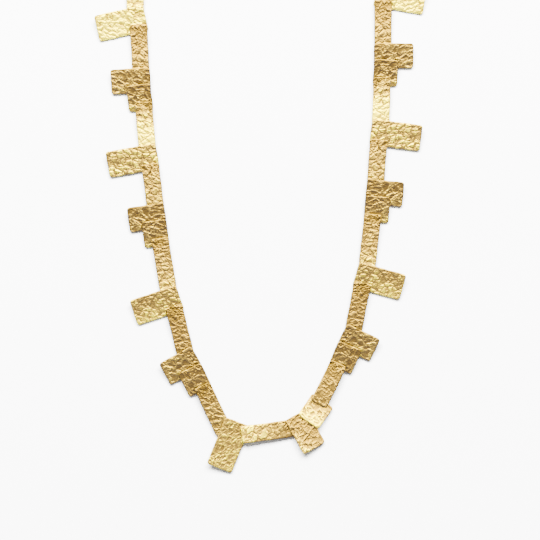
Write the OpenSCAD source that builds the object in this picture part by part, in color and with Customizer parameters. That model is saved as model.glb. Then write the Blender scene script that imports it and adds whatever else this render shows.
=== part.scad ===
// Link necklace of flat hammered plates, laid out as an open loop on a flat surface.
// Four kinds of plate, cut from one sheet, lap over each other like shingles. Each
// joint is a hidden rivet: its shank is soldered under the upper plate, drops through
// a round hole in the lower plate and ends in a head beneath it, so every link swivels.
// Millimetres. +X is to the right and +Y to the back of the neck, seen from above, and
// +Z is up. The origin is the middle of the necklace's box, on the surface it lies on.

/* [Sheet] */
// Thickness of the plates
sheet = 0.7; // [0.6:0.05:0.8]
// Radius of the plates' corners
corner_r = 0.6; // [0.3:0.1:0.8]
// Air between two plates where they lap, over the rivet
lap_gap = 0.4; // [0.38:0.01:0.45]

/* [Plates] */
// Width of the strips
strip_w = 6; // [5.5:0.1:6.5]
// How far a strip reaches past its rivets
strip_lap = 1.05; // [1:0.05:1.3]
// Wide plates, size along the chain
wide_along = 8.9; // [8.2:0.1:9]
// Wide plates, size across the chain
wide_across = 16.8; // [14:0.1:18]
// Medium plates, size along the chain
medium_along = 8.5; // [8.2:0.1:8.6]
// Medium plates, size across the chain
medium_across = 12.8; // [11:0.1:14]
// Small plates, size along the chain
small_along = 8.9; // [8.9:0.1:9.2]
// Small plates, size across the chain
small_across = 8.4; // [7.5:0.1:9]
// Wide plate at the bottom, size along the chain
drop_along = 9.1; // [9:0.1:9.4]
// Line of the rivets, from the inner edge of the plates that stick out
inset = 3.1; // [2.6:0.1:3.4]

/* [Rivets] */
// Radius of a rivet's shank
shank_r = 0.4; // [0.3:0.05:0.45]
// Clearance round the shank
shank_clear = 0.1; // [0.05:0.05:0.15]
// Radius of a rivet's head
head_r = 0.8; // [0.7:0.05:0.85]
// Thickness of a rivet's head
head_h = 0.4; // [0.3:0.05:0.5]
// Air between a head and the plate over it
head_clear = 0.25; // [0.25:0.05:0.3]

/* [Back of the neck] */
// Number of plain strips on each side of the clasp
back_strips = 4; // [3:1:5]
// Width of the clasp
clasp_w = 7; // [6.1:0.1:8]
// How far the clasp reaches past its rivets
clasp_lap = 1.6; // [1.5:0.1:2]

/* [Hidden] */
$fn = 48;
gold = [0.85, 0.71, 0.44];
pale_gold = [0.93, 0.83, 0.6];
overlap = 0.02;

// Height of a plate's underside at a rivet, at its lower and at its upper end
low_z = head_h + head_clear;
high_z = low_z + sheet + lap_gap;

// Both arms hang alike, so one table serves them. From the bottom up, each row has:
// name, kind, lean outwards from straight up, distance between its two rivets, and how
// much wider than its kind it was cut by hand
ARM = [
    ["small_1", "small", 26.5, 7.1, 0.2],
    ["medium_1", "medium", 28.5, 5.7, -0.3],
    ["strip_1", "strip", 13.5, 15.1, 0],
    ["wide_1", "wide", 18.5, 6.1, -0.4],
    ["strip_2", "strip", 9.5, 16.9, 0],
    ["small_2", "small", 7.5, 5.3, 0.2],
    ["medium_2", "medium", 8.5, 6, -0.1],
    ["strip_3", "strip", 7, 13.4, 0],
    ["wide_2", "wide", 10, 6.2, 0.2],
    ["strip_4", "strip", 4.5, 14.4, 0],
    ["small_3", "small", 7, 5.1, -0.1],
    ["medium_3", "medium", 3, 5.9, 0.4],
    ["strip_5", "strip", 3, 14.7, 0],
    ["wide_3", "wide", 12.5, 5, 0],
    ["strip_6", "strip", 1, 14.5, 0],
];
// The right arm as a whole is turned inwards by this angle
right_turn = 3;

// Across the bottom, from left to right, each row has: name, kind, heading of the line
// through its two rivets, distance between them, how much wider it was cut, turn of the
// plate from the line, and how much further from its inner edge the line runs
BOTTOM = [
    ["bottom_left_strip", "strip", -64.5, 15.4, 0, 0, 0],
    ["bottom_wide", "drop", -12.5, 7.1, 0, -9.5, 0.8],
    ["centre_strip", "strip", 7.5, 16, 0, 0, 0],
    ["bottom_medium", "medium", 28.5, 6.3, 0.2, 0.5, 0.4],
    ["bottom_small", "small", 57.5, 6.9, 0.2, -3, 0.8],
    ["bottom_right_strip", "strip", 64, 13.1, 0, 0, 0],
];

// Columns of a link's own row
NAME = 0;
KIND = 1;
START = 2;
HEADING = 3;
STEP = 4;
WIDER = 5;
TURN = 6;
DEEPER = 7;
SIDE = 8;
START_Z = 9;
END_Z = 10;

function unit(a) = [cos(a), sin(a)];

// Place of rivet n on a run of links that starts at a point
function rivet_at(from, headings, steps, n) =
    n == 0 ? from : rivet_at(from, headings, steps, n - 1) + steps[n - 1] * unit(headings[n - 1]);

// The bottom run starts at the rivet under its left strip's upper end
bottom_headings = [for (r = BOTTOM) r[2]];
bottom_steps = [for (r = BOTTOM) r[3]];
last = len(BOTTOM) - 1;
bottom_links = [for (i = [0 : last]) let (r = BOTTOM[i])
    [r[0], r[1], rivet_at([0, 0], bottom_headings, bottom_steps, i), r[2], r[3], r[4], r[5], r[6],
     -1, high_z, i == last ? high_z : low_z]];

// Each arm runs up from one end of the bottom run. The left arm sticks out to the left
// of its own way up, the right arm to the right of it
arm_steps = [for (r = ARM) r[3]];
function arm_headings(side) = [for (r = ARM) side > 0 ? 90 + r[2] : 90 - r[2] + right_turn];
function arm_foot(side) =
    side > 0 ? [0, 0] : rivet_at([0, 0], bottom_headings, bottom_steps, last + 1);
function arm_links(side, word) = [for (i = [0 : len(ARM) - 1]) let (r = ARM[i])
    [str(word, "_", r[0]), r[1], rivet_at(arm_foot(side), arm_headings(side), arm_steps, i),
     arm_headings(side)[i], r[3], r[4], 0, 0, side, low_z, high_z]];

// The back is a half circle of equal steps between the tops of the two arms
function arm_top(side) = rivet_at(arm_foot(side), arm_headings(side), arm_steps, len(ARM));
chord = arm_top(-1) - arm_top(1);
chord_a = atan2(chord.y, chord.x);
back_bend = 180 / (2 * back_strips + 1);
back_turns = [for (k = [back_strips : -1 : -back_strips]) back_bend * k];
function sum(v, i = 0) = i == len(v) ? 0 : v[i] + sum(v, i + 1);
back_step = norm(chord) / sum([for (a = back_turns) cos(a)]);
back_headings = [for (a = back_turns) chord_a + a];
back_steps = [for (a = back_turns) back_step];
function back_name(i) = i == back_strips ? "clasp"
    : i < back_strips ? str("back_left_strip_", i + 1)
    : str("back_right_strip_", 2 * back_strips + 1 - i);
back_links = [for (i = [0 : 2 * back_strips])
    [back_name(i), i == back_strips ? "clasp" : "strip",
     rivet_at(arm_top(1), back_headings, back_steps, i), back_headings[i], back_step, 0, 0, 0,
     -1, i <= back_strips ? low_z : high_z, i < back_strips ? high_z : low_z]];

LINKS = concat(arm_links(1, "left"), bottom_links, arm_links(-1, "right"), back_links);

// Size along and across the chain, and the rivets' distance from the inner edge
function along(l) = l[KIND] == "wide" ? wide_along
    : l[KIND] == "medium" ? medium_along
    : l[KIND] == "small" ? small_along
    : l[KIND] == "drop" ? drop_along
    : l[KIND] == "clasp" ? l[STEP] + 2 * clasp_lap
    : l[STEP] + 2 * strip_lap;
function across(l) = l[WIDER] + (l[KIND] == "medium" ? medium_across
    : l[KIND] == "small" ? small_across
    : l[KIND] == "clasp" ? clasp_w
    : l[KIND] == "strip" ? strip_w
    : wide_across);
function inner(l) = l[KIND] == "strip" || l[KIND] == "clasp" ? across(l) / 2 : inset + l[DEEPER];
function middle_y(l) = l[SIDE] * (across(l) / 2 - inner(l));

// Slope of a plate along the chain, from the heights of its two ends
function pitch(l) = atan((l[END_Z] - l[START_Z]) / (l[STEP] * cos(l[TURN])));
function finish(l) = l[START] + l[STEP] * unit(l[HEADING]);
function middle(l) = (l[START] + finish(l)) / 2;

// Plan of a point given along, across and above a plate's underside, from its middle
function plan(l, p) = middle(l) + (p.x * cos(pitch(l)) - p.z * sin(pitch(l))) * unit(l[HEADING] + l[TURN])
    + (middle_y(l) + p.y) * unit(l[HEADING] + l[TURN] + 90);

// The necklace is moved so that its box is centred on the origin
corner_points = [for (l = LINKS) for (i = [-1, 1]) for (j = [-1, 1]) for (z = [0, sheet])
    plan(l, [i * (along(l) / 2 - corner_r), j * (across(l) / 2 - corner_r), z])];
xs = [for (p = corner_points) p.x];
ys = [for (p = corner_points) p.y];
centre = [(min(xs) + max(xs)) / 2, (min(ys) + max(ys)) / 2];

// A rectangle with true arcs at its corners
module card(length, width) {
    square([length - 2 * corner_r, width], center = true);
    square([length, width - 2 * corner_r], center = true);
    for (i = [-1, 1]) for (j = [-1, 1])
        translate([i * (length / 2 - corner_r), j * (width / 2 - corner_r)]) circle(corner_r);
}

// Shank and head of a rivet, up to the middle of the plate that carries it
module rivet() {
    cylinder(r = head_r, h = head_h);
    cylinder(r = shank_r, h = high_z + sheet / 2);
}

module rivet_hole() {
    translate([0, 0, -overlap]) cylinder(r = shank_r + shank_clear, h = high_z + 2 * sheet);
}

// Ends of a link where it is the upper plate, and where it is the lower one
function ends_at(l, z) =
    [for (e = [[l[START], l[START_Z]], [finish(l), l[END_Z]]]) if (e[1] == z) e[0]];

// One plate, sloping from its high end to its low end
module plate(l) {
    difference() {
        union() {
            translate([middle(l).x, middle(l).y, (l[START_Z] + l[END_Z]) / 2])
                rotate([0, 0, l[HEADING] + l[TURN]])
                rotate([0, -pitch(l), 0])
                translate([0, middle_y(l), 0])
                linear_extrude(sheet) card(along(l), across(l));
            for (p = ends_at(l, high_z)) translate([p.x, p.y, 0]) rivet();
        }
        for (p = ends_at(l, low_z)) translate([p.x, p.y, 0]) rivet_hole();
    }
}

// Plain clasp: a flat bar that stands on the surface, with the two rivet heads sunk
// into its underside
module clasp(l) {
    difference() {
        translate([middle(l).x, middle(l).y, 0]) rotate([0, 0, l[HEADING]])
            linear_extrude(low_z + sheet) card(along(l), across(l));
        for (p = ends_at(l, low_z)) translate([p.x, p.y, 0]) {
            rivet_hole();
            translate([0, 0, -overlap])
                cylinder(r = head_r + head_clear, h = head_h + head_clear / 2 + overlap);
        }
    }
}

module link(l) {
    translate([-centre.x, -centre.y, 0])
        if (l[KIND] == "clasp") color(pale_gold) clasp(l);
        else if (l[KIND] == "strip") color(pale_gold) plate(l);
        else color(gold) plate(l);
}

for (l = LINKS) link(l);
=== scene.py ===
# %% [markdown]
# # A necklace of hammered gold plates
#
# The necklace is a closed loop of flat gold plates that lap over each other like shingles.
# Each plate was cut from sheet by hand and then hammered all over, so its face is a field of
# shallow dents with bright creases between them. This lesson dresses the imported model: it
# keeps every plate's size, slope, rivets and place, and gives it a hammered face.

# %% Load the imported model
import math
from collections import Counter

import bmesh
import bpy
import numpy as np
from mathutils import Matrix, Vector


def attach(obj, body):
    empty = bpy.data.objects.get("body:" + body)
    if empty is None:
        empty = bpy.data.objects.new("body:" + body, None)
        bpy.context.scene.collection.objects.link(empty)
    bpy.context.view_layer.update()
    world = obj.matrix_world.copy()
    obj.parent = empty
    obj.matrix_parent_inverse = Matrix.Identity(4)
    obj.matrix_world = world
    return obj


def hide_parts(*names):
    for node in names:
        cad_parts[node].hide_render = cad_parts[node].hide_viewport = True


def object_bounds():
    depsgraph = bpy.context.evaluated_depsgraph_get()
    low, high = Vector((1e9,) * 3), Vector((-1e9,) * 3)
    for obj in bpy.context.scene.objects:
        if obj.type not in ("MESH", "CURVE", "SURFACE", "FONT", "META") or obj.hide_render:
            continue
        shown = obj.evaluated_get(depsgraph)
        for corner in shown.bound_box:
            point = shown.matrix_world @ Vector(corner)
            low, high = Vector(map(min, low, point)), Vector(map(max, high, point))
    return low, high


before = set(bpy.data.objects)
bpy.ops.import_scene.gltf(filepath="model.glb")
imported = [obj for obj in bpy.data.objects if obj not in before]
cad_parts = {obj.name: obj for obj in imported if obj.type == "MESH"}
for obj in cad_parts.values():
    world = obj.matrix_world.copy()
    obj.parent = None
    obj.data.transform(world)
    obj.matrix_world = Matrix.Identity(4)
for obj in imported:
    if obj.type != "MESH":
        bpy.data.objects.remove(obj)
cad_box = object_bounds()
MM = 0.001
print("nodes in the frame:", len(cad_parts))

# %% [markdown]
# ## Camera
#
# The photograph looks straight down on the necklace and shows its lower two thirds. A camera
# far away with a long lens gives nearly the same view as an orthographic one, and it also
# works for the other views. Its place comes from one scale, the size of a pixel on the
# table, and from the pixel on which the frame's origin falls.

# %% Camera
PHOTO_PIXELS = 540
PIXEL = 0.33 * MM
ORIGIN_PIXEL = (260.5, 146.6)
SENSOR_MM = 36.0
LENS_MM = 200.0

view_width = PHOTO_PIXELS * PIXEL
view_middle = Vector((
    (PHOTO_PIXELS / 2 - ORIGIN_PIXEL[0]) * PIXEL,
    (ORIGIN_PIXEL[1] - PHOTO_PIXELS / 2) * PIXEL,
    cad_box[1][2] / 2,
))
camera_data = bpy.data.cameras.new("camera")
camera_data.sensor_width = SENSOR_MM
camera_data.lens = LENS_MM
camera = bpy.data.objects.new("camera", camera_data)
camera.location = view_middle + Vector((0, 0, view_width * LENS_MM / SENSOR_MM))
bpy.context.scene.collection.objects.link(camera)
bpy.context.scene.camera = camera
print("camera height in m:", round(camera.location.z, 3))

# %% [markdown]
# ## Floor
#
# The necklace lies on a white table. The photograph shows no edge of it, so one large matte
# square is enough.

# %% Floor
FLOOR_HALF = 3.0
FLOOR_COLOUR = (0.9, 0.9, 0.9, 1)
FLOOR_ROUGHNESS = 0.6


def white_table():
    """The table's matte white."""
    material = bpy.data.materials.new("floor_white")
    material.use_nodes = True
    shader = material.node_tree.nodes["Principled BSDF"]
    shader.inputs["Base Color"].default_value = FLOOR_COLOUR
    shader.inputs["Roughness"].default_value = FLOOR_ROUGHNESS
    return material


def add_floor():
    """A square table top at the height of the frame's origin."""
    corners = [(-FLOOR_HALF, -FLOOR_HALF, 0), (FLOOR_HALF, -FLOOR_HALF, 0),
               (FLOOR_HALF, FLOOR_HALF, 0), (-FLOOR_HALF, FLOOR_HALF, 0)]
    mesh = bpy.data.meshes.new("floor")
    mesh.from_pydata(corners, [], [(0, 1, 2, 3)])
    mesh.materials.append(white_table())
    table = bpy.data.objects.new("floor", mesh)
    bpy.context.scene.collection.objects.link(table)
    return table


floor = add_floor()
print("floor width in m:", 2 * FLOOR_HALF)

# %% [markdown]
# ## Lights
#
# All light comes from the back of the neck. A strong white softbox makes the table nearly
# white, and every plate throws a narrow soft shadow towards its lower edge. Gold mirrors
# whatever it faces, and that softbox would burn white spots into it. So light linking keeps
# the softbox to the table and gives the gold a panel of its own. The panel is larger and far
# dimmer, so each dent mirrors another part of it. It is a deep yellow, because the view's
# tone curve fades bright gold towards white. The world adds a dim fill from all sides.

# %% Lights
def soft_light(name, place, width, height, power, colour, floor_state):
    """A softbox that faces the necklace, for the floor alone or for all but the floor."""
    data = bpy.data.lights.new(name, "AREA")
    data.shape = "RECTANGLE"
    data.size = width
    data.size_y = height
    data.energy = power
    data.color = colour
    lamp = bpy.data.objects.new(name, data)
    lamp.location = place
    lamp.rotation_euler = (Vector(place) - view_middle).to_track_quat("Z", "Y").to_euler()
    bpy.context.scene.collection.objects.link(lamp)
    linked = bpy.data.collections.new(name + "_linked")
    linked.objects.link(floor)
    linked.collection_objects[0].light_linking.link_state = floor_state
    lamp.light_linking.receiver_collection = linked


soft_light("table_softbox", place=(0, 1.0, 1.15), width=1.7, height=0.7, power=447.0,
           colour=(1, 1, 1), floor_state="INCLUDE")
soft_light("gold_panel", place=(0, 0.5, 0.91), width=2.4, height=0.75, power=171.0,
           colour=(1, 0.83, 0.04), floor_state="EXCLUDE")
print("lights:", len(bpy.data.lights))

# %% World
WORLD_COLOUR = (1, 1, 1, 1)
WORLD_STRENGTH = 0.5

world = bpy.data.worlds.new("studio")
world.use_nodes = True
background = world.node_tree.nodes["Background"]
background.inputs["Color"].default_value = WORLD_COLOUR
background.inputs["Strength"].default_value = WORLD_STRENGTH
bpy.context.scene.world = world
print("world strength:", WORLD_STRENGTH)

# %% [markdown]
# ## Reading a plate from the frame
#
# A plate's top is the largest flat face that looks up. Nearly every plate slopes along the
# chain, so the way uphill gives the direction of one side. One plate is level, and there the
# longest straight edge gives it. The face's extent along and across that direction is its
# length and width. With these a plate has its own axes: x uphill, y to the left of it, and z
# out of its face. The hammered sheet is made in these axes and then put back in its place.

# %% Top of a plate
MERGE_DISTANCE = 0.0001 * MM
LOOKS_UP = 0.5
SAME_DIRECTION = 0.999
SAME_LEVEL = 0.01 * MM


def merged_copy(node):
    """A node's mesh as one closed shell, without touching the node."""
    bm = bmesh.new()
    bm.from_mesh(node.data)
    bmesh.ops.remove_doubles(bm, verts=bm.verts, dist=MERGE_DISTANCE)
    mesh = bpy.data.meshes.new(node.name + "_shell")
    bm.to_mesh(mesh)
    bm.free()
    return mesh


def top_of(mesh):
    """The direction out of a plate's top, its level along that, and the edges of its rim."""
    upper = [p for p in mesh.polygons if p.normal.z > LOOKS_UP]
    up = max(upper, key=lambda p: p.area).normal.copy()
    level = max(v.co.dot(up) for v in mesh.vertices)
    top = [p for p in upper
           if p.normal.dot(up) > SAME_DIRECTION and abs(p.center.dot(up) - level) < SAME_LEVEL]
    uses = Counter(key for p in top for key in p.edge_keys)
    return up, level, [key for key, count in uses.items() if count == 1]


# %% Axes of a plate
LEAST_SLOPE = 0.01


def plate_axes(mesh):
    """The place and turn of a plate's face, and its length and width."""
    up, level, rim = top_of(mesh)
    uphill = Vector((-up.x, -up.y, 0))
    if uphill.length < LEAST_SLOPE:
        sides = [mesh.vertices[b].co - mesh.vertices[a].co for a, b in rim]
        uphill = max(sides, key=lambda side: side.length)
        if uphill.y < 0:
            uphill = -uphill
    along = (uphill - up * uphill.dot(up)).normalized()
    across = up.cross(along)
    points = np.array([mesh.vertices[i].co for key in rim for i in key])
    middle = up * level
    spans = []
    for axis in (along, across):
        reach = points @ np.array(axis)
        middle += axis * float(reach.max() + reach.min()) / 2
        spans.append(float(np.ptp(reach)))
    place = Matrix.Translation(middle) @ Matrix((along, across, up)).transposed().to_4x4()
    return place, *spans


example = merged_copy(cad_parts["left_wide_3"])
_, example_length, example_width = plate_axes(example)
bpy.data.meshes.remove(example)
print("left_wide_3 in mm:", round(example_length / MM, 2), round(example_width / MM, 2))

# %% [markdown]
# ## Short calls for node trees
#
# The geometry and the materials below are node trees that the script builds. Written out in
# full, each node takes five lines. A few small helpers keep the trees readable: one adds a
# node and fills its sockets, the others do sums, join and split vectors, and turn one range
# of numbers into another.

# %% Helpers for nodes
def fill(tree, socket, value):
    """Plugs another node's output into a socket, or sets the socket's own value."""
    if isinstance(value, bpy.types.NodeSocket):
        tree.links.new(value, socket)
    else:
        socket.default_value = value


def add(tree, kind, sockets=None, **settings):
    """Adds a node, with its settings and its sockets by name or number."""
    node = tree.nodes.new(kind)
    for name, value in settings.items():
        setattr(node, name, value)
    for key, value in (sockets or {}).items():
        fill(tree, node.inputs[key], value)
    return node


# %% Helpers for sums on numbers
def sums(tree, operation, *values, clamp=False):
    """The result of one sum on numbers."""
    node = add(tree, "ShaderNodeMath", operation=operation, use_clamp=clamp)
    for socket, value in zip(node.inputs, values):
        fill(tree, socket, value)
    return node.outputs[0]


def total(tree, first, *others):
    """Numbers added in their order."""
    for other in others:
        first = sums(tree, "ADD", first, other)
    return first


def product(tree, first, *others):
    """Numbers multiplied in their order."""
    for other in others:
        first = sums(tree, "MULTIPLY", first, other)
    return first


def ramp(tree, value, low, high, to_low=0.0, to_high=1.0):
    """A number between low and high as one between to_low and to_high, held at the ends."""
    return add(tree, "ShaderNodeMapRange", {
        "Value": value, "From Min": low, "From Max": high, "To Min": to_low, "To Max": to_high,
    }, clamp=True).outputs["Result"]


# %% Helpers for vectors
VECTOR_SCALE_SOCKET = 3


def vector_sums(tree, operation, first, second):
    """The result of one sum on vectors, or on a vector and a number for SCALE."""
    node = add(tree, "ShaderNodeVectorMath", {0: first}, operation=operation)
    socket = VECTOR_SCALE_SOCKET if operation == "SCALE" else 1
    fill(tree, node.inputs[socket], second)
    return node.outputs["Vector"]


def join(tree, x=0.0, y=0.0, z=0.0):
    """A vector from its three parts."""
    return add(tree, "ShaderNodeCombineXYZ", {"X": x, "Y": y, "Z": z}).outputs[0]


def split(tree, vector):
    """The three parts of a vector, by the names X, Y and Z."""
    return add(tree, "ShaderNodeSeparateXYZ", {0: vector}).outputs


# %% Helper for groups
NUMBER = "NodeSocketFloat"
VECTOR = "NodeSocketVector"
SHAPE = "NodeSocketGeometry"
METAL = "NodeSocketMaterial"


def start_group(name, inputs, numbers, outputs):
    """A new geometry tree with named sockets, and the sockets of its two end nodes."""
    tree = bpy.data.node_groups.new(name, "GeometryNodeTree")
    for socket_name, kind in inputs.items():
        tree.interface.new_socket(socket_name, in_out="INPUT", socket_type=kind)
    for socket_name, value in numbers.items():
        socket = tree.interface.new_socket(socket_name, in_out="INPUT", socket_type=NUMBER)
        socket.default_value = value
    for socket_name, kind in outputs.items():
        tree.interface.new_socket(socket_name, in_out="OUTPUT", socket_type=kind)
    return tree, add(tree, "NodeGroupInput").outputs, add(tree, "NodeGroupOutput").inputs


# %% [markdown]
# ## The field of dents
#
# A hammer leaves a round dent at each blow, and neighbouring dents meet in a sharp crease. The
# Voronoi texture gives each point the distance to the edge of its cell. Turned into a bowl,
# that distance is a field of dents that meet in creases, all at the level of the sheet. Each
# cell's own random colour makes some dents shallower. The hammer's blows slant across each
# plate, so the pattern is turned and stretched, and the right arm's plates mirror the left
# arm's. A noise then moves every point a little, so that no dent is a true circle.

# %% Sizes of the relief
DENT_SIZE = 1.9 * MM
RELIEF_SIZES = {
    "Dent Size": DENT_SIZE,
    "Dent Depth": 0.17 * MM,
    "Small Dent Depth": 0.08 * MM,
    "Wrinkle Size": 1.6 * MM,
    "Wrinkle Height": 0.1 * MM,
    "Unevenness": 0.1 * MM,
    "Grain Angle": math.radians(55),
    "Grain Stretch": 1.3,
    "From Behind": 0.0,
    "Seed": 0.0,
    "Mirror": 1.0,
}

# %% Place in the pattern
SEED_STEP = 47 * MM  # shift of the pattern from one seed to the next
NOISE_ROUGHNESS = 0.6
WARP_WAVES = 0.7  # in the length of a dent
WARP_DETAIL = 3.0
WARP_REACH = 1.5  # in dents, for the noise's whole range
NOISE_MIDDLE = 0.5


def noise(tree, place, waves, length, detail, result=0):
    """A noise on the flat sheet, with so many waves in a length."""
    return add(tree, "ShaderNodeTexNoise", {
        "Vector": place, "Scale": sums(tree, "DIVIDE", waves, length), "Detail": detail,
        "Roughness": NOISE_ROUGHNESS,
    }, noise_dimensions="2D").outputs[result]


def grain_place(tree, size):
    """A point of the sheet in the slanting, stretched axes of the hammer's blows."""
    one_hand = vector_sums(
        tree, "MULTIPLY", size["Position"], join(tree, 1.0, size["Mirror"]))
    turned = add(tree, "ShaderNodeVectorRotate", {
        "Vector": one_hand, "Angle": product(tree, size["Grain Angle"], -1.0),
    }, rotation_type="Z_AXIS").outputs[0]
    point = split(tree, turned)
    stretched = sums(tree, "DIVIDE", point["X"], size["Grain Stretch"])
    return join(tree, total(tree, stretched, product(tree, size["Seed"], SEED_STEP)), point["Y"])


def warped_place(tree, size, flat):
    """The same point, moved about by a noise."""
    bend = noise(tree, flat, WARP_WAVES, size["Dent Size"], WARP_DETAIL, "Color")
    bend = vector_sums(tree, "SUBTRACT", bend, (NOISE_MIDDLE, NOISE_MIDDLE, NOISE_MIDDLE))
    reach = product(tree, size["Dent Size"], WARP_REACH)
    return vector_sums(tree, "ADD", flat, vector_sums(tree, "SCALE", bend, reach))


# %% Dents
BOWL_REACH = 0.37  # from a crease to the bottom of a bowl, in cells


def bowls(tree, size, warped, per_length, depth, shallowest):
    """Dents that meet in creases, so many in the length of a large one."""
    place = {"Vector": warped, "Scale": sums(tree, "DIVIDE", per_length, size["Dent Size"])}
    from_crease = add(tree, "ShaderNodeTexVoronoi", place, voronoi_dimensions="2D",
                      feature="DISTANCE_TO_EDGE").outputs["Distance"]
    cell = add(tree, "ShaderNodeTexVoronoi", place, voronoi_dimensions="2D").outputs["Color"]
    share = ramp(tree, split(tree, cell)["X"], 0.0, 1.0, shallowest, 1.0)
    rise = ramp(tree, from_crease, 0.0, BOWL_REACH, 1.0, 0.0)
    hollow = sums(tree, "SUBTRACT", 1.0, product(tree, rise, rise))
    return product(tree, hollow, share, depth)


# %% [markdown]
# ## The relief
#
# The whole relief is the depth of the face below its highest possible point. It adds bowls of
# two sizes to a slow swell, and takes off thin wrinkles, which stand in patches where the
# sheet has buckled. Some plates were hammered from behind. Their relief is turned inside out:
# the bowls are domes that meet in grooves. The relief is a node group, so that it is one thing
# with named sizes, and both the shape and the colour of the sheet can use it.

# %% Wrinkles
WRINKLE_DETAIL = 2.0
WRINKLE_WIDTH = 0.07  # as a change of the noise
PATCH_WAVES = 0.55  # in the length of a wrinkle's wave
PATCH_EDGES = (0.4, 0.6)


def wrinkles(tree, size, flat, warped):
    """Thin raised lines in patches."""
    wave = noise(tree, warped, 1.0, size["Wrinkle Size"], WRINKLE_DETAIL)
    from_line = sums(tree, "ABSOLUTE", sums(tree, "SUBTRACT", wave, NOISE_MIDDLE))
    crest = ramp(tree, from_line, 0.0, WRINKLE_WIDTH, 1.0, 0.0)
    patch = noise(tree, flat, PATCH_WAVES, size["Wrinkle Size"], 0.0)
    return product(tree, crest, ramp(tree, patch, *PATCH_EDGES), size["Wrinkle Height"])


# %% Relief group
SWELL_WAVES = 0.35  # in the length of a dent
SWELL_DETAIL = 1.0
SMALL_PER_LARGE = 2.1
SHALLOWEST_LARGE = 0.45  # as a share of the full depth
SHALLOWEST_SMALL = 0.0  # as a share of the full depth


def relief_group():
    """A group that gives the depth of the hammered face at a position."""
    tree, size, result = start_group(
        "hammered_relief", {"Position": VECTOR}, RELIEF_SIZES, {"Depth": NUMBER})
    flat = grain_place(tree, size)
    warped = warped_place(tree, size, flat)
    swell = noise(tree, flat, SWELL_WAVES, size["Dent Size"], SWELL_DETAIL)
    depth = total(
        tree,
        product(tree, swell, size["Unevenness"]),
        bowls(tree, size, warped, 1.0, size["Dent Depth"], SHALLOWEST_LARGE),
        bowls(tree, size, warped, SMALL_PER_LARGE, size["Small Dent Depth"], SHALLOWEST_SMALL),
        size["Wrinkle Height"])
    depth = sums(tree, "SUBTRACT", depth, wrinkles(tree, size, flat, warped))
    deepest = total(tree, size["Unevenness"], size["Dent Depth"], size["Small Dent Depth"],
                    size["Wrinkle Height"])
    inside_out = sums(tree, "SUBTRACT", deepest, product(tree, depth, 2.0))
    depth = total(tree, depth, product(tree, inside_out, size["From Behind"]))
    fill(tree, result["Depth"], depth)
    return tree


relief = relief_group()
print("relief nodes:", len(relief.nodes))

# %% [markdown]
# ## The cut outline
#
# A plate that was cut by hand is never quite straight, and its corners are worn round. One way
# to make it is to model a plate with a fine grid on top, but then the rivet and its hole would
# have to be modelled again. Here a finely divided block takes the outline and the hammered
# face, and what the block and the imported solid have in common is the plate. Outline and face
# come from the block. The thickness, the rivet and the hole come from the solid. The outline
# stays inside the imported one, because the block is drawn in by at least the cut allowance.

# %% Sizes of a plate
PLATE_SIZES = {
    "Length": 15 * MM,
    "Width": 6 * MM,
    "Grid Step": 0.13 * MM,
    "Corner Radius": 0.95 * MM,
    "Cut Allowance": 0.05 * MM,
    "Cut Wobble": 0.12 * MM,
    "Rim Width": 0.6 * MM,
    "Edge Width": 0.26 * MM,
    "Edge Drop": 0.1 * MM,
    "Mean Depth": 0.23 * MM,
    "Joint Length": 7.5 * MM,
    "Joint Crumple": 0.0,
    "Lower Tone": 0.5,
    "Upper Tone": 0.5,
    "Tone Curve": 1.0,
    "Outer Paling": 0.0,
    "Hammering": 1.0,
    "Relief On Brown": 0.9,
    "Relief On Pale": 1.6,
}

# %% Fine block
BLOCK_DEPTH = 6 * MM


def fine_block(tree, size):
    """A block in small squares, with its top at the level of the plate's face."""
    points = {}
    for side in ("Length", "Width"):
        steps = sums(tree, "ROUND", sums(tree, "DIVIDE", size[side], size["Grid Step"]))
        points[side] = total(tree, steps, 1.0)
    block = add(tree, "GeometryNodeMeshCube", {
        "Size": join(tree, size["Length"], size["Width"], BLOCK_DEPTH),
        "Vertices X": points["Length"],
        "Vertices Y": points["Width"],
        "Vertices Z": 2,
    })
    return add(tree, "GeometryNodeTransform", {
        "Geometry": block.outputs["Mesh"], "Translation": (0, 0, -BLOCK_DEPTH / 2),
    }).outputs[0]


# %% Rounded corners
NEARLY_NOTHING = 1e-9  # keeps the middle of the plate from a division by zero


def rounded_place(tree, size, point):
    """Where a point goes when the corners are rounded, and its distance to the edge, which
    is held at the corners' radius further in."""
    inner = []
    outer = []
    for axis, side in (("X", "Length"), ("Y", "Width")):
        limit = sums(tree, "SUBTRACT", product(tree, size[side], 0.5), size["Corner Radius"])
        raised = sums(tree, "MAXIMUM", point[axis], product(tree, limit, -1.0))
        held = sums(tree, "MINIMUM", raised, limit)
        inner.append(held)
        outer.append(sums(tree, "SUBTRACT", point[axis], held))
    reach = sums(tree, "MAXIMUM", *[sums(tree, "ABSOLUTE", part) for part in outer])
    span = sums(tree, "SQRT", total(tree, *[product(tree, part, part) for part in outer]))
    ratio = sums(tree, "DIVIDE", reach, sums(tree, "MAXIMUM", span, NEARLY_NOTHING))
    x, y = [total(tree, held, product(tree, part, ratio)) for held, part in zip(inner, outer)]
    to_edge = sums(tree, "SUBTRACT", size["Corner Radius"], reach)
    return join(tree, x, y, point["Z"]), to_edge


# %% Wobble of the cut
WOBBLE_WAVES = 230.0  # per metre
WOBBLE_DETAIL = 1.5
WOBBLE_SEED_STEP = 0.07
WOBBLE_NOISE = (0.35, 0.65)


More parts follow.
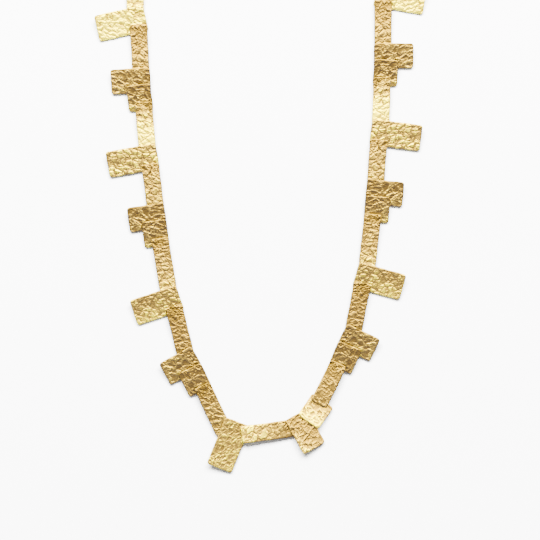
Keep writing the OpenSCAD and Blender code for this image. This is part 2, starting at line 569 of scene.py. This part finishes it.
def cut_offset(tree, size, point):
    """How a point moves inwards, by the cut allowance and some wobble."""
    place = join(tree, point["X"], product(tree, point["Y"], size["Mirror"]),
                 product(tree, size["Seed"], WOBBLE_SEED_STEP))
    wobble = split(tree, add(tree, "ShaderNodeTexNoise", {
        "Vector": place, "Scale": WOBBLE_WAVES, "Detail": WOBBLE_DETAIL}).outputs["Color"])
    offset = []
    for axis, side in (("X", "Length"), ("Y", "Width")):
        from_middle = sums(tree, "DIVIDE", point[axis], product(tree, size[side], 0.5))
        share = ramp(tree, wobble[axis], *WOBBLE_NOISE)
        amount = total(tree, size["Cut Allowance"], product(tree, share, size["Cut Wobble"]))
        offset.append(product(tree, from_middle, amount, -1.0))
    return join(tree, *offset)


# %% [markdown]
# ## Crumple and tone
#
# The upper end of a strip lies over a joint. There it was worked once more, so its large dents
# give way to finer, deeper ones and the gold is browner. Each plate also changes its tone on
# the way from its lower to its upper end, from 0 for brown to 1 for pale, and some plates are
# paler on their outer side. The tone is partly the gold's own tarnish and partly painted light
# and shade: it also carries how brightly each plate catches the light, and three bottom plates
# are darker at the end that lies under the next plate, which is painted shadow. These are
# numbers at each point, worked out from its place in the plate, because the shape needs them
# as much as the colour does.

# %% Crumple over the joint
JOINT_REST = 1.5 * MM  # the crumple is full from here to the upper end
CRUMPLE_CURVE = 1.5
CRUMPLE_CHANGES = {  # as a share of each size
    "Dent Depth": -0.5,
    "Small Dent Depth": 1.5,
    "Wrinkle Height": 0.5,
}


def joint_crumple(tree, size, point):
    """From 0 to 1 on the way up to a strip's upper end."""
    upper_end = product(tree, size["Length"], 0.5)
    start = sums(tree, "SUBTRACT", upper_end, size["Joint Length"])
    full = sums(tree, "SUBTRACT", upper_end, JOINT_REST)
    rise = sums(tree, "POWER", ramp(tree, point["X"], start, full), CRUMPLE_CURVE)
    return product(tree, rise, size["Joint Crumple"])


def relief_depth(tree, size, place, crumple):
    """The depth that the relief group gives, changed where the sheet is crumpled."""
    sizes = {name: size[name] for name in RELIEF_SIZES}
    for name, change in CRUMPLE_CHANGES.items():
        factor = total(tree, product(tree, crumple, change), 1.0)
        sizes[name] = product(tree, size[name], factor)
    group = add(tree, "GeometryNodeGroup", {"Position": place, **sizes}, node_tree=relief)
    return group.outputs["Depth"]


# %% Tone of the plate
TONE_OVER_JOINT = 0.5  # as a share of the tone


def plate_tone(tree, size, point, crumple):
    """The gold's tone at a point, 0 brown to 1 pale: partly tarnish, partly painted light and
    shade.
    """
    upper_end = product(tree, size["Length"], 0.5)
    way_up = ramp(tree, point["X"], product(tree, upper_end, -1.0), upper_end)
    way_up = sums(tree, "POWER", way_up, size["Tone Curve"])
    # On centre_strip, bottom_medium and bottom_small the darker lower end, under the next plate,
    # is painted shadow.
    tone = ramp(tree, way_up, 0.0, 1.0, size["Lower Tone"], size["Upper Tone"])
    # Paler towards the outer side.
    outwards = product(tree, sums(tree, "DIVIDE", point["Y"], size["Width"]),
                       product(tree, size["Mirror"], 2.0))
    tone = total(tree, tone, product(tree, outwards, size["Outer Paling"]))
    at_joint = ramp(tree, crumple, 0.0, 1.0, 1.0, TONE_OVER_JOINT)
    return sums(tree, "MULTIPLY", tone, at_joint, clamp=True)


# %% [markdown]
# ## The hammered face
#
# Every point of the block's top moves down by the relief. A pale plate shows its dents less
# than a brown one, so its relief is stronger. The relief swings about a mean depth, so that
# stronger hammering doesn't thin the plate as a whole. The blows get weaker towards the rim,
# and the outermost edge rolls down a little. No point stays at the solid's own level, because
# two faces in one plane are the hard case for the cut that follows.

# %% Drop of the face
HAMMERED_OVER_JOINT = 1.25  # as a share of the relief
RELIEF_AT_RIM = 0.15  # as a share of the relief
LEAST_DROP = 0.004 * MM


def face_drop(tree, size, relief_here, tone, crumple, to_edge):
    """The movement of a point of the top along the plate's own z."""
    strength = ramp(tree, tone, 0.0, 1.0, size["Relief On Brown"], size["Relief On Pale"])
    at_joint = ramp(tree, crumple, 0.0, 1.0, 1.0, HAMMERED_OVER_JOINT)
    strength = product(tree, strength, product(tree, size["Hammering"], at_joint))
    from_rim = ramp(tree, to_edge, 0.0, size["Rim Width"], RELIEF_AT_RIM, 1.0)
    swing = sums(tree, "SUBTRACT", relief_here, size["Mean Depth"])
    swing = product(tree, swing, product(tree, strength, from_rim))
    rolled = ramp(tree, to_edge, 0.0, size["Edge Width"], size["Edge Drop"], 0.0)
    depth = total(tree, swing, size["Mean Depth"], rolled)
    return product(tree, sums(tree, "MAXIMUM", depth, LEAST_DROP), -1.0)


# %% [markdown]
# ## From the solid to the plate
#
# The tree below puts the steps together: the block is rounded, cut and hammered, and then
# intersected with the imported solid. The manifold solver does this quickly and leaves a closed
# mesh. The tree also stores four numbers at each point for the gold: its tone, how deep it
# lies in the relief, how crumpled it is, and how near it is to the edge.

# %% Steps of the plate tree
EDGE_BAND = (0.05 * MM, 0.35 * MM)  # the edge fades out between these distances


def moved(tree, shape, sockets):
    """The shape with its points moved."""
    return add(tree, "GeometryNodeSetPosition", {"Geometry": shape, **sockets}).outputs[0]


def hammered_block(tree, size, point, relief_here, tone, crumple):
    """The block with its cut outline and hammered face, and the points' distance to the edge."""
    round_place, edge_distance = rounded_place(tree, size, point)
    keep = add(tree, "GeometryNodeCaptureAttribute", {"Geometry": fine_block(tree, size)})
    keep.capture_items.new("FLOAT", "To Edge")
    fill(tree, keep.inputs["To Edge"], edge_distance)
    to_edge = keep.outputs["To Edge"]
    shape = moved(tree, keep.outputs["Geometry"], {"Position": round_place})
    shape = moved(tree, shape, {"Offset": cut_offset(tree, size, point)})
    shape = moved(tree, shape, {
        "Selection": sums(tree, "GREATER_THAN", point["Z"], -BLOCK_DEPTH / 2),
        "Offset": join(tree, z=face_drop(tree, size, relief_here, tone, crumple, to_edge)),
    })
    return shape, to_edge


def with_numbers(tree, shape, numbers):
    """The shape with named numbers stored at its points."""
    for name, value in numbers.items():
        shape = add(tree, "GeometryNodeStoreNamedAttribute", {
            "Geometry": shape, "Name": name, "Value": value,
        }, data_type="FLOAT", domain="POINT").outputs[0]
    return shape


# %% Plate tree
def plate_tree():
    """A tree that turns a packed plate's solid into the hammered plate."""
    tree, size, result = start_group(
        "hammered_plate", {"Solid": SHAPE, "Metal": METAL}, PLATE_SIZES | RELIEF_SIZES,
        {"Plate": SHAPE})
    place = add(tree, "GeometryNodeInputPosition").outputs[0]
    point = split(tree, place)
    crumple = joint_crumple(tree, size, point)
    tone = plate_tone(tree, size, point, crumple)
    relief_here = relief_depth(tree, size, place, crumple)
    block, to_edge = hammered_block(tree, size, point, relief_here, tone, crumple)
    common = add(tree, "GeometryNodeMeshBoolean", operation="INTERSECT", solver="MANIFOLD")
    for shape in (size["Solid"], block):
        fill(tree, common.inputs["Mesh 2"], shape)
    # The edge band to be darkened, partly tarnish and partly painted shade along the seams; not
    # over a joint.
    at_edge = product(tree, ramp(tree, to_edge, *EDGE_BAND, 1.0, 0.0),
                      sums(tree, "SUBTRACT", 1.0, crumple))
    numbered = with_numbers(tree, common.outputs["Mesh"], {
        "tone": tone,
        "hollow": sums(tree, "DIVIDE", relief_here, size["Dent Depth"]),
        "joint": crumple,
        "edge": at_edge,
    })
    whole = add(tree, "GeometryNodeRealizeInstances", {"Geometry": numbered})
    metal = add(tree, "GeometryNodeSetMaterial", {
        "Geometry": whole.outputs[0], "Material": size["Metal"]})
    fill(tree, result["Plate"], metal.outputs[0])
    return tree


plate = plate_tree()
print("plate nodes:", len(plate.nodes))

# %% [markdown]
# ## Hammered gold
#
# The gold is satin, not polished, so each dent shows a blurred glint. Its colour runs from
# brown to pale straw. The numbers stored at the points steer it. The tone sets where a plate
# starts; it is partly tarnish and partly painted light and shade. The high creases are paler,
# partly wear and partly a painted highlight, the hollows are browner, partly dirt and partly
# painted shade, and clouds vary both. The colour is darker still in the deepest hollows,
# above all over a joint, at the outermost edge and on the cut faces: partly stain, oxide and
# tarnish, partly painted shade in the hollows and along the seams between plates. The palest
# plates have a matte bloom, so they are rougher and a little less metallic. Last, a fine
# grain breaks up the glints.

# %% Helpers for metal
SPECULAR_LEVEL = 0.1


def new_metal(name):
    """A new metal, its node tree and its shader."""
    material = bpy.data.materials.new(name)
    material.use_nodes = True
    shader = material.node_tree.nodes["Principled BSDF"]
    shader.inputs["Metallic"].default_value = 1.0
    shader.inputs["Specular IOR Level"].default_value = SPECULAR_LEVEL
    return material, material.node_tree, shader


def colour_ramp(tree, value, stops):
    """The colour at a value, on a scale of colours."""
    node = add(tree, "ShaderNodeValToRGB", {"Fac": value})
    points = node.color_ramp.elements
    while len(points) < len(stops):
        points.new(0.5)
    for point, (position, colour) in zip(points, stops):
        point.position = position
        point.color = (*colour, 1)
    return node.outputs["Color"]


def speckle(tree, waves, detail):
    """A noise through the metal, with so many waves per metre."""
    place = add(tree, "ShaderNodeTexCoord").outputs["Object"]
    return add(tree, "ShaderNodeTexNoise", {
        "Vector": place, "Scale": waves, "Detail": detail}).outputs[0]


def add_grain(tree, shader, grain, strength, height):
    """A fine grain that bends the surface's normal."""
    bump = add(tree, "ShaderNodeBump", {
        "Height": grain, "Strength": strength, "Distance": height})
    fill(tree, shader.inputs["Normal"], bump.outputs[0])


# %% Colour of the hammered gold
BROWN_TO_STRAW = [
    (0.0, (0.23, 0.158, 0.12)),
    (0.5, (0.345, 0.25, 0.17)),
    (0.85, (0.58, 0.455, 0.1)),
    (1.0, (1.0, 0.93, 0.04)),
]
CLOUD_WAVES = 380.0
CLOUD_DETAIL = 3.0
CLOUD_STRENGTH = 0.6
# Creases paler: partly wear, partly painted highlight. Hollows browner: partly dirt, partly
# painted shade.
CREASES = (0.85, 1.25)  # depths in the relief, in large dents
CREASE_WEAR_AND_HIGHLIGHT = 0.38
HOLLOWS = (1.25, 1.9)  # depths too
PALE_TONES = (0.7, 1.0)
DIRT_AND_SHADE_ON_BROWN = 0.45
DIRT_AND_SHADE_ON_PALE = 0.2


def worn_and_shaded_colour(tree, tone, hollow):
    """The colour of the metal: tarnish, wear and dirt, partly painted highlight and shade."""
    clouds = sums(tree, "SUBTRACT", speckle(tree, CLOUD_WAVES, CLOUD_DETAIL), NOISE_MIDDLE)
    clouds = product(tree, clouds, CLOUD_STRENGTH)
    # Paler on the high creases: partly wear, partly a painted highlight.
    wear_and_highlight = ramp(tree, hollow, *CREASES, CREASE_WEAR_AND_HIGHLIGHT, 0.0)
    # Browner in the hollows: partly dirt, partly painted shade.
    most_dirt_and_shade = ramp(tree, tone, *PALE_TONES, DIRT_AND_SHADE_ON_BROWN, DIRT_AND_SHADE_ON_PALE)
    dirt_and_shade = ramp(tree, hollow, *HOLLOWS, 0.0, most_dirt_and_shade)
    worn_and_shaded_tone = sums(tree, "SUBTRACT", total(tree, tone, clouds, wear_and_highlight), dirt_and_shade, clamp=True)
    return colour_ramp(tree, worn_and_shaded_tone, BROWN_TO_STRAW)


# %% Stain and painted shade
# Darker cut faces, deep hollows and edges: partly oxide, stain and tarnish, partly painted
# shade.
CUT_FACE_SLOPES = (0.1, 0.5)  # how much a face looks up, from 0 to 1
CUT_FACE_LIGHT = 0.5
STAINED_AND_SHADED_HOLLOWS = (1.0, 2.2)  # depths in the relief, in large dents
HOLLOW_STAIN_AND_SHADE = 0.25
STAIN_AND_SHADE_OVER_JOINT = 0.7
EDGE_LIGHT = 0.85


def stain_and_shade_share(tree, hollow, joint, edge):
    """How much of the colour is left at a point after stains, tarnish and painted shade."""
    normal = add(tree, "ShaderNodeNewGeometry").outputs["True Normal"]
    # Cut faces darker: partly oxide, partly painted shade along the seams.
    cut_face = ramp(tree, split(tree, normal)["Z"], *CUT_FACE_SLOPES, CUT_FACE_LIGHT, 1.0)
    # Deepest hollows darker, most over a joint: partly stain, partly painted shade.
    hollow_stain_and_shade = product(tree, ramp(tree, hollow, *STAINED_AND_SHADED_HOLLOWS),
                    ramp(tree, joint, 0.0, 1.0, HOLLOW_STAIN_AND_SHADE, STAIN_AND_SHADE_OVER_JOINT))
    # Outermost edge darker: partly tarnish, partly painted shade along the seams.
    at_edge = ramp(tree, edge, 0.0, 1.0, 1.0, EDGE_LIGHT)
    return product(tree, cut_face, sums(tree, "SUBTRACT", 1.0, hollow_stain_and_shade), at_edge)


# %% Hammered gold
GRAIN_WAVES = 2600.0
GRAIN_DETAIL = 4.0
GRAIN_STRENGTH = 0.35
GRAIN_HEIGHT = 0.02 * MM
GRAIN_IN_ROUGHNESS = 0.2
BLOOM_CURVE = 3.0
SATIN_ROUGHNESS = 0.36
BLOOM_ROUGHNESS = 0.43
BLOOM_METALLIC = 0.85


def hammered_gold():
    """The gold of the hammered plates."""
    material, tree, shader = new_metal("hammered_gold_worked")
    tone, hollow, joint, edge = [
        add(tree, "ShaderNodeAttribute", attribute_name=name).outputs["Fac"]
        for name in ("tone", "hollow", "joint", "edge")]
    colour = vector_sums(tree, "SCALE", worn_and_shaded_colour(tree, tone, hollow),
                         stain_and_shade_share(tree, hollow, joint, edge))
    fill(tree, shader.inputs["Base Color"], colour)
    grain = speckle(tree, GRAIN_WAVES, GRAIN_DETAIL)
    bloom = sums(tree, "POWER", tone, BLOOM_CURVE)
    uneven = product(tree, sums(tree, "SUBTRACT", grain, NOISE_MIDDLE), GRAIN_IN_ROUGHNESS)
    roughness = total(
        tree, ramp(tree, bloom, 0.0, 1.0, SATIN_ROUGHNESS, BLOOM_ROUGHNESS), uneven)
    fill(tree, shader.inputs["Roughness"], roughness)
    metallic = ramp(tree, bloom, 0.0, 1.0, 1.0, BLOOM_METALLIC)
    fill(tree, shader.inputs["Metallic"], metallic)
    add_grain(tree, shader, grain, GRAIN_STRENGTH, GRAIN_HEIGHT)
    return material


gold = hammered_gold()
print("gold nodes:", len(gold.node_tree.nodes))

# %% [markdown]
# ## How each plate looks
#
# Both arms carry the same plates, and the right arm mirrors the left one. A short table gives
# each plate's tone at its lower end and at its upper end, the curve of the change between
# them, and how hard it was hammered. The tones are partly the gold's own tarnish and partly
# painted light and shade; the dark lower ends of the centre strip, the bottom medium and the
# bottom small plate are painted shadow of the plate that lies over them. A tone below 0 or
# above 1 is held at that end of the scale, so it only moves the point at which the change
# starts or stops. The strips and the wide plates were hammered from behind, but for the few
# that are named below. Two pairs of wide plates and the wide one at the bottom have finer
# dents. The plates that stick out are a little paler on their outer side, but for one pair,
# and one plate far more.

# %% Tones and hammering
# Each plate's tones are partly tarnish and partly painted light and shade.
ARM_LOOKS = {
    "small_1": (0.2, 0.1, 1.0, 0.85),
    "medium_1": (0.55, 0.25, 1.0, 0.8),
    "strip_1": (0.2, -0.4, 1.0, 1.0),
    "wide_1": (0.86, 0.36, 1.0, 0.76),
    "strip_2": (0.8, 0.0, 0.7, 1.0),
    "small_2": (0.6, 0.05, 1.0, 1.0),
    "medium_2": (0.4, 0.15, 1.0, 0.9),
    "strip_3": (0.5, 0.25, 1.0, 1.15),
    "wide_2": (0.69, 0.54, 1.0, 1.0),
    "strip_4": (1.1, 0.3, 2.0, 1.1),
    "small_3": (0.7, -0.1, 1.0, 1.15),
    "medium_3": (0.45, 0.15, 1.0, 1.1),
    "strip_5": (0.45, -0.35, 0.8, 1.2),
    "wide_3": (1.2, 1.0, 1.0, 1.1),
    "strip_6": (0.95, 0.9, 1.0, 0.95),
}
# The dark lower ends of centre_strip, bottom_medium and bottom_small are painted shadow.
BOTTOM_LOOKS = {
    "bottom_left_strip": (0.55, 0.1, 1.0, 0.75),
    "bottom_wide": (0.7, 0.6, 1.0, 0.5),
    "centre_strip": (-0.8, 0.8, 0.3, 0.75),
    "bottom_medium": (-0.8, 0.42, 0.45, 1.35),
    "bottom_small": (-0.3, 1.05, 0.4, 0.7),
    "bottom_right_strip": (0.42, -0.55, 0.8, 0.95),
}

# %% Exceptions
FROM_THE_FRONT = {"strip_1", "bottom_left_strip", "bottom_wide", "bottom_right_strip"}
NOT_CRUMPLED = {"centre_strip"}
FINER_DENTS = {"wide_1": 1.5 * MM, "wide_2": 1.65 * MM, "bottom_wide": 1.4 * MM}
# How much paler a plate is on its outer side.
OUTER_PALING = 0.12
OTHER_PALING = {"wide_2": 0.0, "bottom_medium": 0.4}


def plate_values(kind, look):
    """What the tree's named inputs are for one kind of plate."""
    strip = "strip" in kind
    usual_from_behind = strip or "wide" in kind
    lower_tone, upper_tone, tone_curve, hammering = look
    return {
        "From Behind": float(usual_from_behind and kind not in FROM_THE_FRONT),
        "Joint Crumple": float(strip and kind not in NOT_CRUMPLED),
        "Dent Size": FINER_DENTS.get(kind, DENT_SIZE),
        "Outer Paling": OTHER_PALING.get(kind, 0.0 if strip else OUTER_PALING),
        "Lower Tone": lower_tone,
        "Upper Tone": upper_tone,
        "Tone Curve": tone_curve,
        "Hammering": hammering,
        "Metal": gold,
    }


# %% [markdown]
# ## Making the plates
#
# Each packed plate gets its own hammered sheet: a merged copy of the solid is turned into the
# plate's own axes, the tree works on it, and the result becomes a plain mesh that is put back
# in its place. The seed is the same for a pair of plates and differs between pairs. The face
# is shaded smooth, and edges sharper than a fixed angle stay sharp.

# %% Make one plate
SHARP_ANGLE = math.radians(35)


def sheet_of(piece, values):
    """The plain mesh that the tree makes of a piece."""
    modifier = piece.modifiers.new("hammered_plate", "NODES")
    modifier.node_group = plate
    for socket in plate.interface.items_tree:
        if socket.in_out == "INPUT" and socket.name in values:
            modifier[socket.identifier] = values[socket.name]
    bpy.context.view_layer.update()
    evaluated = piece.evaluated_get(bpy.context.evaluated_depsgraph_get())
    sheet = bpy.data.meshes.new_from_object(evaluated)
    piece.modifiers.clear()
    return sheet


def hammer(node_name, kind, look, seed, mirror):
    """Replaces one packed plate by its hammered sheet."""
    shell = merged_copy(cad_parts[node_name])
    place, length, width = plate_axes(shell)
    shell.transform(place.inverted())
    piece = bpy.data.objects.new(node_name + "_hammered", shell)
    bpy.context.scene.collection.objects.link(piece)
    sheet = sheet_of(piece, {
        "Length": length,
        "Width": width,
        "Seed": float(seed),
        "Mirror": float(mirror),
        **plate_values(kind, look),
    })
    piece.data = sheet
    sheet.name = node_name + "_hammered"
    bpy.data.meshes.remove(shell)
    sheet.shade_smooth()
    sheet.set_sharp_from_angle(angle=SHARP_ANGLE)
    sheet.transform(place)
    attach(piece, "root")
    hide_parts(node_name)
    return piece


# %% Make all plates
ARM_SEED = 1
BOTTOM_SEED = 40

plates = []
for seed, (kind, look) in enumerate(ARM_LOOKS.items(), start=ARM_SEED):
    for side, mirror in (("left", 1), ("right", -1)):
        plates.append(hammer(f"{side}_{kind}", kind, look, seed, mirror))
for seed, (kind, look) in enumerate(BOTTOM_LOOKS.items(), start=BOTTOM_SEED):
    plates.append(hammer(kind, kind, look, seed, 1))
triangles = sum(len(p.vertices) - 2 for piece in plates for p in piece.data.polygons)
print("hammered plates:", len(plates), "triangles:", triangles)

# %% [markdown]
# ## Plain gold at the back of the neck
#
# The strips and the clasp behind the neck aren't hammered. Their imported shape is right, so
# they stay, and only get a better finish: satin gold with soft clouds and a fine grain.

# %% Plain gold
PLAIN_CLOUD_WAVES = 120.0
PLAIN_COLOURS = [(0.3, (0.45, 0.33, 0.15)), (0.7, (0.56, 0.42, 0.19))]
PLAIN_GRAIN_WAVES = 3000.0
PLAIN_GRAIN_RANGE = (0.3, 0.7)
PLAIN_ROUGHNESS = (0.28, 0.42)
PLAIN_GRAIN_STRENGTH = 0.25
PLAIN_GRAIN_HEIGHT = 0.01 * MM


def plain_gold():
    """The gold of the strips and the clasp behind the neck."""
    material, tree, shader = new_metal("plain_gold_satin")
    clouds = speckle(tree, PLAIN_CLOUD_WAVES, CLOUD_DETAIL)
    fill(tree, shader.inputs["Base Color"], colour_ramp(tree, clouds, PLAIN_COLOURS))
    grain = speckle(tree, PLAIN_GRAIN_WAVES, GRAIN_DETAIL)
    roughness = ramp(tree, grain, *PLAIN_GRAIN_RANGE, *PLAIN_ROUGHNESS)
    fill(tree, shader.inputs["Roughness"], roughness)
    add_grain(tree, shader, grain, PLAIN_GRAIN_STRENGTH, PLAIN_GRAIN_HEIGHT)
    return material


plain_metal = plain_gold()
back_nodes = [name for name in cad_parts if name.startswith("back_")] + ["clasp"]
for name in back_nodes:
    for material_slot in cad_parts[name].material_slots:
        material_slot.material = plain_metal
print("plain nodes:", len(back_nodes))
